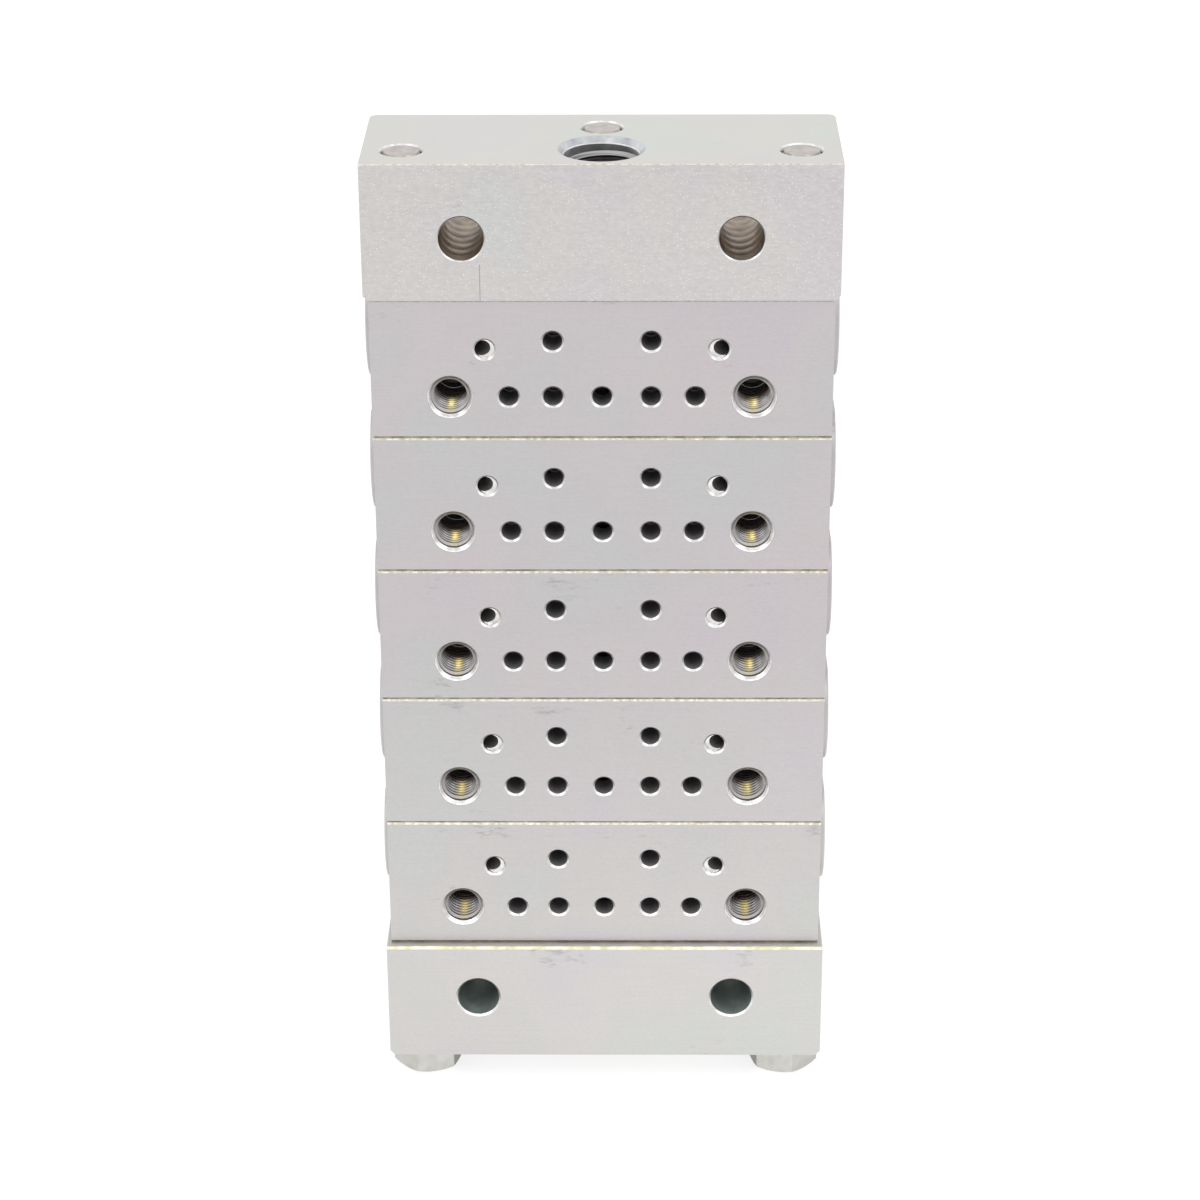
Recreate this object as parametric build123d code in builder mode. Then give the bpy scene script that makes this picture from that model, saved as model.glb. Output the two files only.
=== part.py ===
"""Stacked base of a series-progressive grease divider: a hydraulic manifold block.

An inlet block, five equal sections and an end block stand on one another and are
pulled together by three tie rods.  The rods screw into the inlet block, run down
through the stack and end in three hex nuts, on which the whole block stands.  One
feed gallery runs down the stack from the inlet port, with a rubber ring round it at
each joint face.  Every section has nine ports and two threaded holes for its valve in
the front face, and a lubrication outlet on a round boss in each side, which a slanting
drilling joins to the front face through a pressed-in check valve cartridge.

Millimetres.  X runs across the width, Y from the valve faces to the back face, Z up.
The origin is under the middle of the end block, at the nuts' lower faces.
"""
import os
from math import radians, sqrt, tan

from build123d import *

# ---------------------------------------------------------------- blocks
BLOCK_WIDTH = 76.2              # inlet block and end block
INLET_HEIGHT = 22.7
INLET_DEPTH = 26.99
END_HEIGHT = 22.23
END_DEPTH = 27.99
SECTION_COUNT = 5
SECTION_WIDTH = 74.7
SECTION_HEIGHT = 23.81          # also the pitch of the stack
SECTION_DEPTH = 26.19
CORNER_RADIUS = 1.6             # upright back edges of the bar that inlet and end block are sawn from
EDGE_BREAK = 0.45               # chamfer along the front edges of the sections and the end block
CORNER_BREAK = 0.9              # chamfer at the outer lower edges of inlet and end block

# ---------------------------------------------------------------- ports in a section's front face
PORT_RADIUS = 1.6
LOWER_ROW_RISE = 7.14           # five ports and the two valve screws, above the section's lower face
UPPER_ROW_DROP = 7.14           # two ports, below the section's upper face
INNER_PORT_X = 7.94
OUTER_PORT_X = 15.1
PORT_DEPTH = 7.5                # of the ports beside the feed port
VALVE_SCREW_X = 24.6
VALVE_SCREW_MINOR_RADIUS = 2.75
VALVE_SCREW_DEPTH = 13.0

# ---------------------------------------------------------------- inlet port and feed gallery
FEED_RADIUS = 2.4
FEED_DEPTH = 7.5                # axis behind the sections' front face
INLET_PORT_MINOR_RADIUS = 5.75
INLET_PORT_DEPTH = 13.5
INLET_PORT_RIM = 1.2

# ---------------------------------------------------------------- outlet in each side of a section
OUTLET_DROP = 8.5               # axis below the section's upper face
OUTLET_DEPTH = 16.5             # axis behind the section's front face
OUTLET_MINOR_RADIUS = 4.3
OUTLET_THREAD_LENGTH = 7.4      # free for a fitting, in front of the check valve
OUTLET_DRILL_X = 18.9           # where the slanting drilling enters the front face
BOSS_RADIUS = 10.0
BOSS_HEIGHT = 1.15
CHECK_RADIUS = 3.9              # check valve cartridge, in a seat of its own at the bottom of the port
CHECK_LENGTH = 3.5
CHECK_FIT = 0.03                # radial gap round the cartridge

# ---------------------------------------------------------------- tie rods and nuts
ROD_RADIUS = 3.15
ROD_THREAD_FIT = 0.03           # radial gap between a rod and the thread that it screws into
ROD_HOLE_CLEARANCE = 0.22       # radial gap where it runs through
ROD_SIDE_X = 31.75
ROD_SIDE_DEPTH = 6.7            # axes of the side rods behind the sections' front face
ROD_REAR_DEPTH = 19.1           # axis of the rear rod behind that face
ROD_MOUTH_CHAMFER = 0.55        # round the rods' ends in the inlet block's top
ROD_NUT_RECESS = 0.5            # rod end above the nut's lower face
NUT_HEIGHT = 5.56
NUT_FLATS = 11.11
NUT_CHAMFER_ANGLE = 30.0
NUT_TURNS = {"left": 15.0, "right": -15.0, "rear": 0.0}     # degrees, as the nuts were tightened

# ---------------------------------------------------------------- mounting holes and seals
MOUNTING_X = 22.225
MOUNTING_RADIUS = 3.57
MOUNTING_RISE = 10.4           # above the inlet block's lower face
MOUNTING_DROP = 10.25          # below the end block's upper face
SEAL_WIDTH = 1.9                # of a rubber ring, squeezed in the closed joint
SEAL_HEIGHT = 1.4               # also the depth of its counterbore
SEAL_GAP = 0.12                 # between a ring and the wall of its counterbore
SEAL_INNER_GAP = 0.25           # between the gallery's mouth and its ring

# ---------------------------------------------------------------- derived places
OVERCUT = 1.0                   # how far a cutting profile starts outside a face
BACK_Y = END_DEPTH / 2
SECTION_FRONT_Y = BACK_Y - SECTION_DEPTH
INLET_FRONT_Y = BACK_Y - INLET_DEPTH
END_FRONT_Y = BACK_Y - END_DEPTH
FEED_Y = SECTION_FRONT_Y + FEED_DEPTH
END_TOP_Z = NUT_HEIGHT + END_HEIGHT
INLET_BASE_Z = END_TOP_Z + SECTION_COUNT * SECTION_HEIGHT
TOP_Z = INLET_BASE_Z + INLET_HEIGHT
ROD_PLACES = {
    "left": (-ROD_SIDE_X, SECTION_FRONT_Y + ROD_SIDE_DEPTH),
    "right": (ROD_SIDE_X, SECTION_FRONT_Y + ROD_SIDE_DEPTH),
    "rear": (0.0, SECTION_FRONT_Y + ROD_REAR_DEPTH),
}
SEAL_INNER_RADIUS = FEED_RADIUS + SEAL_INNER_GAP
SEAL_OUTER_RADIUS = SEAL_INNER_RADIUS + SEAL_WIDTH
OUTLET_Y = SECTION_FRONT_Y + OUTLET_DEPTH
BOSS_X = SECTION_WIDTH / 2 + BOSS_HEIGHT
CHECK_OUTER_X = BOSS_X - OUTLET_THREAD_LENGTH
CHECK_INNER_X = CHECK_OUTER_X - CHECK_LENGTH


# ---------------------------------------------------------------- planes and cuts
def facing_front(x, y, z):
    """Plane on a face that looks to the front, its local y upward."""
    return Plane(origin=(x, y, z), x_dir=(1, 0, 0), z_dir=(0, -1, 0))


def facing_side(side, x, y, z):
    """Plane on the left (side -1) or right (side 1) face, its local y upward."""
    return Plane(origin=(side * x, y, z), x_dir=(0, side, 0), z_dir=(side, 0, 0))


def facing_up(x, y, z):
    """Plane on an upper face."""
    return Plane(origin=(x, y, z), x_dir=(1, 0, 0), z_dir=(0, 0, 1))


def facing_down(x, y, z):
    """Plane on a lower face."""
    return Plane(origin=(x, y, z), x_dir=(1, 0, 0), z_dir=(0, 0, -1))


def cut_seal_pocket(base_z):
    """Cut the counterbore for a rubber ring round the feed gallery in a lower face."""
    with Locations(facing_down(0, FEED_Y, base_z)):
        Hole(SEAL_OUTER_RADIUS + SEAL_GAP, SEAL_HEIGHT)


def cut_rod_holes(top_z, height):
    """Cut the three clearance holes in which the tie rods run through a block."""
    for x, y in ROD_PLACES.values():
        with Locations(facing_up(x, y, top_z)):
            Hole(ROD_RADIUS + ROD_HOLE_CLEARANCE, height)


def front_edges(part, z):
    """The edges along the width at a height on a part's front face."""
    return part.edges().filter_by(Axis.X).group_by(Axis.Y)[0].filter_by_position(Axis.Z, z - 0.01, z + 0.01)


def finish(piece, node):
    """Name a finished piece and write it out."""
    piece.label = node
    export_step(piece, f"parts/{node}.step")


os.makedirs("parts", exist_ok=True)


# ================================================================ sections
def cut_valve_face(side):
    """Cut one side's ports and valve screw hole in a section that stands on Z = 0."""
    low, high = LOWER_ROW_RISE, SECTION_HEIGHT - UPPER_ROW_DROP
    with Locations(*[facing_front(side * x, SECTION_FRONT_Y, z)
                     for x, z in ((INNER_PORT_X, low), (OUTER_PORT_X, low), (INNER_PORT_X, high))]):
        Hole(PORT_RADIUS, PORT_DEPTH)
    with Locations(facing_front(side * VALVE_SCREW_X, SECTION_FRONT_Y, low)):
        Hole(VALVE_SCREW_MINOR_RADIUS, VALVE_SCREW_DEPTH)


def cut_outlet(side):
    """Cut one side's outlet: the threaded port, its valve seat, and the slanting drilling that feeds it."""
    axis_z = SECTION_HEIGHT - OUTLET_DROP
    with Locations(facing_side(side, BOSS_X, OUTLET_Y, axis_z)):
        CounterBoreHole(CHECK_RADIUS + CHECK_FIT, OUTLET_MINOR_RADIUS, OUTLET_THREAD_LENGTH,
                        BOSS_X - CHECK_INNER_X)
    run = Vector(side * (CHECK_INNER_X - OUTLET_DRILL_X), OUTLET_DEPTH, 0)
    start = Vector(side * OUTLET_DRILL_X, SECTION_FRONT_Y, axis_z) - run.normalized() * OVERCUT
    with Locations(Plane(origin=start, x_dir=(0, 0, 1), z_dir=-run.normalized())):
        Hole(PORT_RADIUS, run.length + OVERCUT)


with BuildPart() as section:
    with BuildSketch(facing_up(0, BACK_Y - SECTION_DEPTH / 2, 0)):
        Rectangle(SECTION_WIDTH, SECTION_DEPTH)
    extrude(amount=SECTION_HEIGHT)
    chamfer(front_edges(section, 0) + front_edges(section, SECTION_HEIGHT), EDGE_BREAK)
    for side in (-1, 1):
        with BuildSketch(facing_side(side, SECTION_WIDTH / 2, 0, 0)):
            with Locations((side * OUTLET_Y, SECTION_HEIGHT - OUTLET_DROP)):
                Circle(BOSS_RADIUS)
            with Locations((side * (BACK_Y - SECTION_DEPTH / 2), SECTION_HEIGHT / 2)):
                Rectangle(SECTION_DEPTH, SECTION_HEIGHT, mode=Mode.INTERSECT)
        extrude(amount=BOSS_HEIGHT)
        cut_valve_face(side)
        cut_outlet(side)
    with Locations(facing_up(0, FEED_Y, SECTION_HEIGHT)):
        Hole(FEED_RADIUS, SECTION_HEIGHT)
    with Locations(facing_front(0, SECTION_FRONT_Y, LOWER_ROW_RISE)):
        Hole(PORT_RADIUS, FEED_DEPTH)
    cut_seal_pocket(0)
    cut_rod_holes(SECTION_HEIGHT, SECTION_HEIGHT)

with BuildPart() as checks:
    for side in (-1, 1):
        with BuildSketch(facing_side(side, CHECK_INNER_X, OUTLET_Y, SECTION_HEIGHT - OUTLET_DROP)):
            Circle(CHECK_RADIUS)
        extrude(amount=CHECK_LENGTH)

for number in range(1, SECTION_COUNT + 1):
    place = Location((0, 0, INLET_BASE_Z - number * SECTION_HEIGHT))
    finish(section.part.moved(place), f"section_block_{number}")
    finish(checks.part.moved(place), f"outlet_checks_{number}")


# ================================================================ seals, in the lower face of each upper block
with BuildPart() as seal:
    with BuildSketch(facing_up(0, FEED_Y, 0)):
        Circle(SEAL_OUTER_RADIUS)
        Circle(SEAL_INNER_RADIUS, mode=Mode.SUBTRACT)
    extrude(amount=SEAL_HEIGHT)

for number in range(SECTION_COUNT + 1):
    joint_z = INLET_BASE_Z - number * SECTION_HEIGHT
    finish(seal.part.moved(Location((0, 0, joint_z))), f"joint_seal_{number + 1}")


# ================================================================ inlet block
with BuildPart() as inlet:
    with BuildSketch(facing_up(0, BACK_Y - INLET_DEPTH / 2, INLET_BASE_Z)):
        Rectangle(BLOCK_WIDTH, INLET_DEPTH)
    extrude(amount=INLET_HEIGHT)
    fillet(inlet.edges().filter_by(Axis.Z).group_by(Axis.Y)[-1], CORNER_RADIUS)
    chamfer(inlet.edges().group_by(Axis.Z)[0].filter_by(Axis.Y), CORNER_BREAK)
    with Locations(facing_up(0, FEED_Y, TOP_Z)):
        CounterSinkHole(INLET_PORT_MINOR_RADIUS, INLET_PORT_MINOR_RADIUS + INLET_PORT_RIM, INLET_PORT_DEPTH,
                        counter_sink_angle=90)
        Hole(FEED_RADIUS, INLET_HEIGHT)
    cut_seal_pocket(INLET_BASE_Z)
    with Locations(*[facing_front(side * MOUNTING_X, INLET_FRONT_Y, INLET_BASE_Z + MOUNTING_RISE)
                     for side in (-1, 1)]):
        Hole(MOUNTING_RADIUS, INLET_DEPTH)
    with Locations(*[facing_up(x, y, TOP_Z) for x, y in ROD_PLACES.values()]):
        CounterSinkHole(ROD_RADIUS + ROD_THREAD_FIT, ROD_RADIUS + ROD_THREAD_FIT + ROD_MOUTH_CHAMFER,
                        INLET_HEIGHT, counter_sink_angle=90)
finish(inlet.part, "inlet_block")


# ================================================================ end block
with BuildPart() as end:
    with BuildSketch(facing_up(0, BACK_Y - END_DEPTH / 2, NUT_HEIGHT)):
        Rectangle(BLOCK_WIDTH, END_DEPTH)
    extrude(amount=END_HEIGHT)
    fillet(end.edges().filter_by(Axis.Z).group_by(Axis.Y)[-1], CORNER_RADIUS)
    chamfer(end.edges().group_by(Axis.Z)[0].filter_by(Axis.Y), CORNER_BREAK)
    chamfer(front_edges(end, END_TOP_Z), EDGE_BREAK)
    with Locations(*[facing_front(side * MOUNTING_X, END_FRONT_Y, END_TOP_Z - MOUNTING_DROP)
                     for side in (-1, 1)]):
        Hole(MOUNTING_RADIUS, END_DEPTH)
    cut_rod_holes(END_TOP_Z, END_HEIGHT)
finish(end.part, "end_block")


# ================================================================ tie rods and nuts
NUT_CORNERS = NUT_FLATS / sqrt(3)
NUT_CHAMFER_HEIGHT = (NUT_CORNERS - NUT_FLATS / 2) * tan(radians(NUT_CHAMFER_ANGLE))

for place, (x, y) in ROD_PLACES.items():
    with BuildPart() as rod:
        with BuildSketch(facing_up(x, y, ROD_NUT_RECESS)):
            Circle(ROD_RADIUS)
        extrude(amount=TOP_Z - ROD_NUT_RECESS)
    finish(rod.part, f"tie_rod_{place}")

    with BuildPart() as nut:
        with BuildSketch(facing_up(x, y, 0)):
            RegularPolygon(NUT_FLATS / 2, 6, major_radius=False, rotation=NUT_TURNS[place])
            Circle(ROD_RADIUS + ROD_THREAD_FIT, mode=Mode.SUBTRACT)
        extrude(amount=NUT_HEIGHT)
        with BuildSketch(facing_front(x, y, 0)) as chamfered:
            with BuildLine():
                Polyline((0, 0), (NUT_FLATS / 2, 0), (NUT_CORNERS, NUT_CHAMFER_HEIGHT),
                         (NUT_CORNERS, NUT_HEIGHT), (0, NUT_HEIGHT), close=True)
            make_face()
        revolve(chamfered.sketch, axis=Axis((x, y, 0), (0, 0, 1)), mode=Mode.INTERSECT)
    finish(nut.part, f"tie_rod_nut_{place}")
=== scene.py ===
from functools import partial
from math import cos, pi, radians, sin, sqrt, tan

import bmesh
import bpy
from bpy.props import FloatProperty, FloatVectorProperty, IntProperty, PointerProperty
from mathutils import Matrix, Vector


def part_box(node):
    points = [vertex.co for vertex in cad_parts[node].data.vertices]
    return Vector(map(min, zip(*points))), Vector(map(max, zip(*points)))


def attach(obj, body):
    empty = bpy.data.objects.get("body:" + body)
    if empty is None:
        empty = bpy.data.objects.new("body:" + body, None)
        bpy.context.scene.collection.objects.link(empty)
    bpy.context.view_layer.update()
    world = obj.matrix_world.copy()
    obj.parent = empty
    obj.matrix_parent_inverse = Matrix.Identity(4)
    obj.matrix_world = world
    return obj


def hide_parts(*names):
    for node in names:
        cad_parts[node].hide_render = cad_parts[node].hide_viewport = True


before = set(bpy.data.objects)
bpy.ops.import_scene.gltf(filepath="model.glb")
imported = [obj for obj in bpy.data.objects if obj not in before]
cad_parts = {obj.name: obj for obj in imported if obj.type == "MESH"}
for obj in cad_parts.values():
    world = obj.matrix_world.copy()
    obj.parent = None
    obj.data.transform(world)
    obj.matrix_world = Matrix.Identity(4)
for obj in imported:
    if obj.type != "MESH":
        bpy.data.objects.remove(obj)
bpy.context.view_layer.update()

bl_info = {
    "name": "Manifold Block",
    "version": (1, 0, 0),
    "blender": (4, 5, 0),
    "location": "3D View > Sidebar > Manifold",
    "description": "Dresses a stacked manifold block of inlet, sections, end block, tie rods and nuts",
    "category": "Object",
}

MM = 0.001
NEAR = 0.1 * MM                         # two coordinates closer than this lie on one level
SECTIONS = 5
INLET_LOW, INLET_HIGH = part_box("inlet_block")
END_LOW, END_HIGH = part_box("end_block")
SECTION_LOW, SECTION_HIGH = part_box("section_block_5")
SECTION_STEP = (INLET_LOW.z - END_HIGH.z) / SECTIONS
STEP_MM = SECTION_STEP / MM
FRONT = SECTION_LOW.y                   # the sections' ported face
BACK = SECTION_HIGH.y
TOP = INLET_HIGH.z
NUT_TOP = END_LOW.z
BLOCK_HALF = INLET_HIGH.x
BOSS_FACE = SECTION_HIGH.x
SECTION_HALF = BOSS_FACE - 1.15 * MM    # half a section's width without its bosses
ROD_PLACES = {
    side: (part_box(f"tie_rod_{side}")[0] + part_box(f"tie_rod_{side}")[1]) / 2
    for side in ("left", "right", "rear")
}

# where the holes stand, from the middle, the ported face and each block's own levels
FEED_Y = FRONT + 7.5 * MM               # inlet port and feed gallery
OUTLET_Y = FRONT + 16.5 * MM
OUTLET_DROP = 8.5 * MM                  # outlets under their section's top
ROW_MARGIN = 7.14 * MM                  # rows of ports from a section's lower and upper face
PORT_INNER, PORT_OUTER = 7.94 * MM, 15.1 * MM
CROSS_X = 18.9 * MM                     # ports whose drilling slants to the outlets
SCREW_X = 24.6 * MM                     # valve screws
MOUNT_X = 22.225 * MM                   # mounting holes
INLET_MOUNT_Z = INLET_LOW.z + 10.4 * MM
END_MOUNT_Z = END_HIGH.z - 10.25 * MM

# in millimetres, as in every turned profile: depth of the small ports, radii of the gallery and rod holes
PORT_DEPTH, GALLERY_RADIUS, ROD_HOLE = 7.5, 2.4, 3.37

# material slots of every drilled block; CROWN is the inlet block's top and a section's slanting drilling
PLATE, RIM, BORE, PORT, GROOVE, EDGE, CROWN = range(7)
INLET_FINISHES = (
    "Zinc plate on sawn bar", "Bright countersink", "Port steel", "Amber bore", "Joint groove",
    "Worn zinc edge", "Zinc plate on ground top")
SECTION_FINISHES = (
    "Zinc plate on milled section", "Bright countersink", "Oily drilled bore", "Plated bore", "Joint groove",
    "Worn zinc edge", "Shaded cross drilling")
END_FINISHES = (
    "Zinc plate on end block", "Bright countersink", "Through bore", "Plated bore", "Joint groove",
    "Yellowed zinc edge")


# ---- settings
class ManifoldSizes(bpy.types.PropertyGroup):
    """Sizes of the details that dress the plain solids."""
    port_radius: FloatProperty(
        name="Port radius", description="Radius of the small ports in the valve faces",
        default=1.6 * MM, subtype="DISTANCE")
    port_rim: FloatProperty(
        name="Port rim", description="Width of the countersunk rim round a small port",
        default=0.32 * MM, subtype="DISTANCE")
    screw_rim: FloatProperty(
        name="Screw hole rim", description="Width of the countersunk rim round a valve screw hole",
        default=0.48 * MM, subtype="DISTANCE")
    screw_pitch: FloatProperty(
        name="Screw thread pitch", description="Pitch of the fine quarter-inch valve screw thread",
        default=0.907 * MM, subtype="DISTANCE")
    inlet_pitch: FloatProperty(
        name="Inlet thread pitch", description="Pitch of the quarter-inch pipe thread in the top face",
        default=1.411 * MM, subtype="DISTANCE")
    outlet_pitch: FloatProperty(
        name="Outlet thread pitch", description="Pitch of the eighth-inch pipe thread in the sides",
        default=0.941 * MM, subtype="DISTANCE")
    edge_round: FloatProperty(
        name="Edge round", description="Radius that tumbling leaves on the blocks' edges",
        default=0.14 * MM, subtype="DISTANCE")
    circle_steps: IntProperty(
        name="Circle steps", description="Steps round each turned or drilled shape",
        default=56, min=24, max=96)


class ManifoldColours(bpy.types.PropertyGroup):
    """Colours of the finishes."""
    plate: FloatVectorProperty(
        name="Zinc plate tint", description="Tint over the clear chromated zinc on the blocks",
        default=(1.0, 1.0, 1.0), subtype="COLOR", size=3, min=0, max=1)
    bore: FloatVectorProperty(
        name="Port wall", description="Oily wall of the small drilled ports",
        default=(0.240, 0.250, 0.255), subtype="COLOR", size=3, min=0, max=1)
    rubber: FloatVectorProperty(
        name="Rubber", description="Nitrile rubber of the joint rings",
        default=(0.012, 0.012, 0.013), subtype="COLOR", size=3, min=0, max=1)


# ---- nodes and colours
def linear(code):
    """Turn an sRGB hex colour such as "c8c6c7" to linear RGBA."""
    parts = [int(code[i:i + 2], 16) / 255 for i in (0, 2, 4)]
    return tuple(c / 12.92 if c <= 0.04045 else ((c + 0.055) / 1.055) ** 2.4 for c in parts) + (1.0,)


def add_node(tree, kind, inputs=None, **settings):
    """Add a node with its settings. Each input takes a value, a socket, a node's first output or a list."""
    made = tree.nodes.new(kind)
    for key, value in settings.items():
        setattr(made, key, value)
    for key, value in (inputs or {}).items():
        for each in value if isinstance(value, list) else [value]:
            if isinstance(each, bpy.types.Node):
                each = next(socket for socket in each.outputs if socket.enabled)
            if isinstance(each, bpy.types.NodeSocket):
                tree.links.new(each, made.inputs[key])
            else:
                made.inputs[key].default_value = each
    return made


def new_material(name):
    """An empty node material, and add_node for its tree."""
    material = bpy.data.materials.new(name)
    material.use_nodes = True
    material.node_tree.nodes.clear()
    return material, partial(add_node, material.node_tree)


def millimetres(add, squeeze=(1, 1, 1)):
    """Object coordinates in millimetres, squeezed along the axes that a pattern runs along."""
    place = add("ShaderNodeTexCoord").outputs["Object"]
    return add("ShaderNodeMapping", {"Vector": place, "Scale": tuple(1000 * s for s in squeeze)})


def off_pair(add, across, middle):
    """Distance from two upright planes, one on each side of the block, in millimetres."""
    side = add("ShaderNodeMath", {0: across}, operation="ABSOLUTE")
    beside = add("ShaderNodeMath", {0: side, 1: middle}, operation="SUBTRACT")
    return side, add("ShaderNodeMath", {0: beside}, operation="ABSOLUTE")


def close_surface(add, colour, roughness, metallic=1.0, height=None, strength=0.0, distance=0.0):
    """End a material: its shader, with a bump where a height is given, and its output."""
    inputs = {"Base Color": colour, "Roughness": roughness, "Metallic": metallic}
    if height is not None:
        inputs["Normal"] = add("ShaderNodeBump", {
            "Height": height, "Strength": strength, "Distance": distance * MM})
    add("ShaderNodeOutputMaterial", {"Surface": add("ShaderNodeBsdfPrincipled", inputs)})


def seen_directly(add):
    """One for what the camera, gloss and glass see, and nought for what lights the object."""
    rays = add("ShaderNodeLightPath").outputs
    seen = rays["Is Camera Ray"]
    for kind in ("Is Glossy Ray", "Is Transmission Ray"):
        seen = add("ShaderNodeMath", {0: seen, 1: rays[kind]}, operation="MAXIMUM")
    return seen


# ---- finishes
# share of grain among the cutter lines, spread of tone, strength of rub marks and of bump
CUTS = {
    "sawn": (0.8, 0.085, 0.2, 0.4),
    "milled": (0.68, 0.06, 0.38, 0.2),
    "ground": (0.6, 0.03, 0.12, 0.08),
}


def zinc_plate(name, low_code, high_code, kind):
    """Clear-chromated zinc over steel: pale grey satin metal with faint pink, green and violet clouds.

    Kind "sawn" keeps a coarse grain with painted glints in specks, "milled" shows fine lines along the width
    and grime beside the joints, "ground" is the smooth top.
    """
    sawn, milled = kind == "sawn", kind == "milled"
    grain_share, spread, rub_strength, bump_strength = CUTS[kind]
    tint = (*bpy.context.scene.manifold_colours.plate, 1.0)

    def toned(code):
        return tuple(a * b for a, b in zip(linear(code), tint))

    # painted light: one tone up to 25 mm, just under the end block's top, and the other from 88 mm, at mid
    # height; the sections' paler low tone is painted light off the table
    material, add = new_material(name)
    even = millimetres(add)
    axes = add("ShaderNodeSeparateXYZ", {0: even}).outputs
    rise = add("ShaderNodeMapRange", {"Value": axes["Z"], "From Min": 25.0, "From Max": 88.0})
    ground = add("ShaderNodeMix", {
        "Factor": rise, "A": toned(low_code), "B": toned(high_code)}, data_type="RGBA")

    # clouds of the chromate film, about 20 mm across
    cloud = add("ShaderNodeTexNoise", {"Vector": even, "Scale": 1 / 20.0, "Detail": 2.0, "Roughness": 0.45})
    film = add("ShaderNodeValToRGB", {"Fac": cloud})
    stops = film.color_ramp.elements
    for position, code in ((0.34, "f3f0f4"), (0.46, "f4f2f1"), (0.56, "f2f1f1"), (0.66, "f0f3f1")):
        stops.new(position).color = linear(code)
    stops.remove(stops[0])
    stops.remove(stops[-1])
    filmed = add("ShaderNodeMix", {
        "Factor": 1.0, "A": ground, "B": film}, data_type="RGBA", blend_type="MULTIPLY")

    # cutter lines along the width, drawn 0.35 mm apart so that they show
    lines = add("ShaderNodeTexNoise", {
        "Vector": millimetres(add, (0.03, 0.03, 1)), "Scale": 1 / 0.35, "Detail": 3.0})
    grain = add("ShaderNodeTexNoise", {
        "Vector": millimetres(add, (0.45, 0.45, 1)), "Scale": 1 / (0.4 if sawn else 0.3), "Detail": 3.0,
        "Roughness": 0.65})
    mixed = add("ShaderNodeMix", {"Factor": grain_share, "A": lines, "B": grain}, data_type="FLOAT")
    shade = add("ShaderNodeMapRange", {
        "Value": mixed, "From Min": 0.32, "From Max": 0.68, "To Min": 1 - spread, "To Max": 1 + spread})
    shaded = add("ShaderNodeVectorMath", {0: filmed, 3: shade}, operation="SCALE")

    # dull handling marks, a few millimetres long and thin
    rub = add("ShaderNodeTexNoise", {
        "Vector": millimetres(add, (0.3, 0.3, 1)), "Scale": 1 / 1.1, "Detail": 4.0, "Roughness": 0.7})
    where = add("ShaderNodeTexNoise", {"Vector": even, "Scale": 1 / 14.0, "Detail": 1.0})
    both = add("ShaderNodeMath", {0: rub, 1: where}, operation="MULTIPLY")
    if milled:
        # grime gathers below each joint: it starts 4.5 mm down and is full in the last 2.5 mm
        layer = add("ShaderNodeMath", {
            0: axes["Z"], 1: 1000 * (INLET_LOW.z - SECTIONS * SECTION_STEP)}, operation="SUBTRACT")
        layer = add("ShaderNodeMath", {0: layer, 1: STEP_MM}, operation="FLOORED_MODULO")
        grime = add("ShaderNodeMapRange", {
            "Value": layer, "From Min": STEP_MM - 4.5, "From Max": STEP_MM - 2.5, "To Max": 0.075})
        both = add("ShaderNodeMath", {0: both, 1: grime}, operation="ADD")
    smudge = add("ShaderNodeMapRange", {
        "Value": both, "From Min": 0.41, "From Max": 0.50, "To Max": rub_strength})
    marked = add("ShaderNodeMix", {
        "Factor": smudge, "A": shaded, "B": toned("8d8889")}, data_type="RGBA")

    if sawn:
        # painted glints: crystals of the coarse grain painted near white as if they faced the light, in
        # drifts, and a few dark pits with their shade painted in: all are drawn 0.34 mm across, coarser than
        # the real ones, so that they show
        cells = add("ShaderNodeTexVoronoi", {
            "Vector": millimetres(add, (0.7, 0.7, 1)), "Scale": 1 / 0.34}).outputs
        drift = add("ShaderNodeTexNoise", {
            "Vector": even, "Scale": 1 / 6.0, "Detail": 3.0, "Roughness": 0.7})
        drift = add("ShaderNodeMath", {0: drift, 1: 0.9}, operation="MULTIPLY")
        drawn = add("ShaderNodeSeparateColor", {0: cells["Color"]}).outputs
        odds = add("ShaderNodeMath", {0: drift, 1: drawn[0]}, operation="ADD")
        near = add("ShaderNodeMapRange", {
            "Value": cells["Distance"], "From Min": 0.06, "From Max": 0.27, "To Min": 0.85, "To Max": 0.0})
        for test, limit, value, code in (
                ("GREATER_THAN", 1.10, odds, "fffdf8"), ("LESS_THAN", 0.02, drawn[1], "7d7979")):
            chosen = add("ShaderNodeMath", {0: value, 1: limit}, operation=test)
            speck = add("ShaderNodeMath", {0: near, 1: chosen}, operation="MULTIPLY")
            marked = add("ShaderNodeMix", {
                "Factor": speck, "A": marked, "B": linear(code)}, data_type="RGBA")

        # one hairline scratch up from the lower front edge, 19.35 mm left of the middle
        scratch = add("ShaderNodeMath", {0: axes["X"], 1: -19.35, 2: 0.07}, operation="COMPARE")
        for axis, limit in (("Y", 1000 * FRONT - 0.7), ("Z", 1000 * INLET_LOW.z + 6.2)):
            below = add("ShaderNodeMath", {0: axes[axis], 1: limit}, operation="LESS_THAN")
            scratch = add("ShaderNodeMath", {0: scratch, 1: below}, operation="MULTIPLY")
        marked = add("ShaderNodeMix", {
            "Factor": scratch, "A": marked, "B": linear("a5a2a0")}, data_type="RGBA")

    roughness = add("ShaderNodeMapRange", {
        "Value": mixed, "From Min": 0.3, "From Max": 0.7, "To Min": 0.36, "To Max": 0.50})
    close_surface(add, marked, roughness, height=mixed, strength=bump_strength, distance=0.03)
    return material


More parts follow.
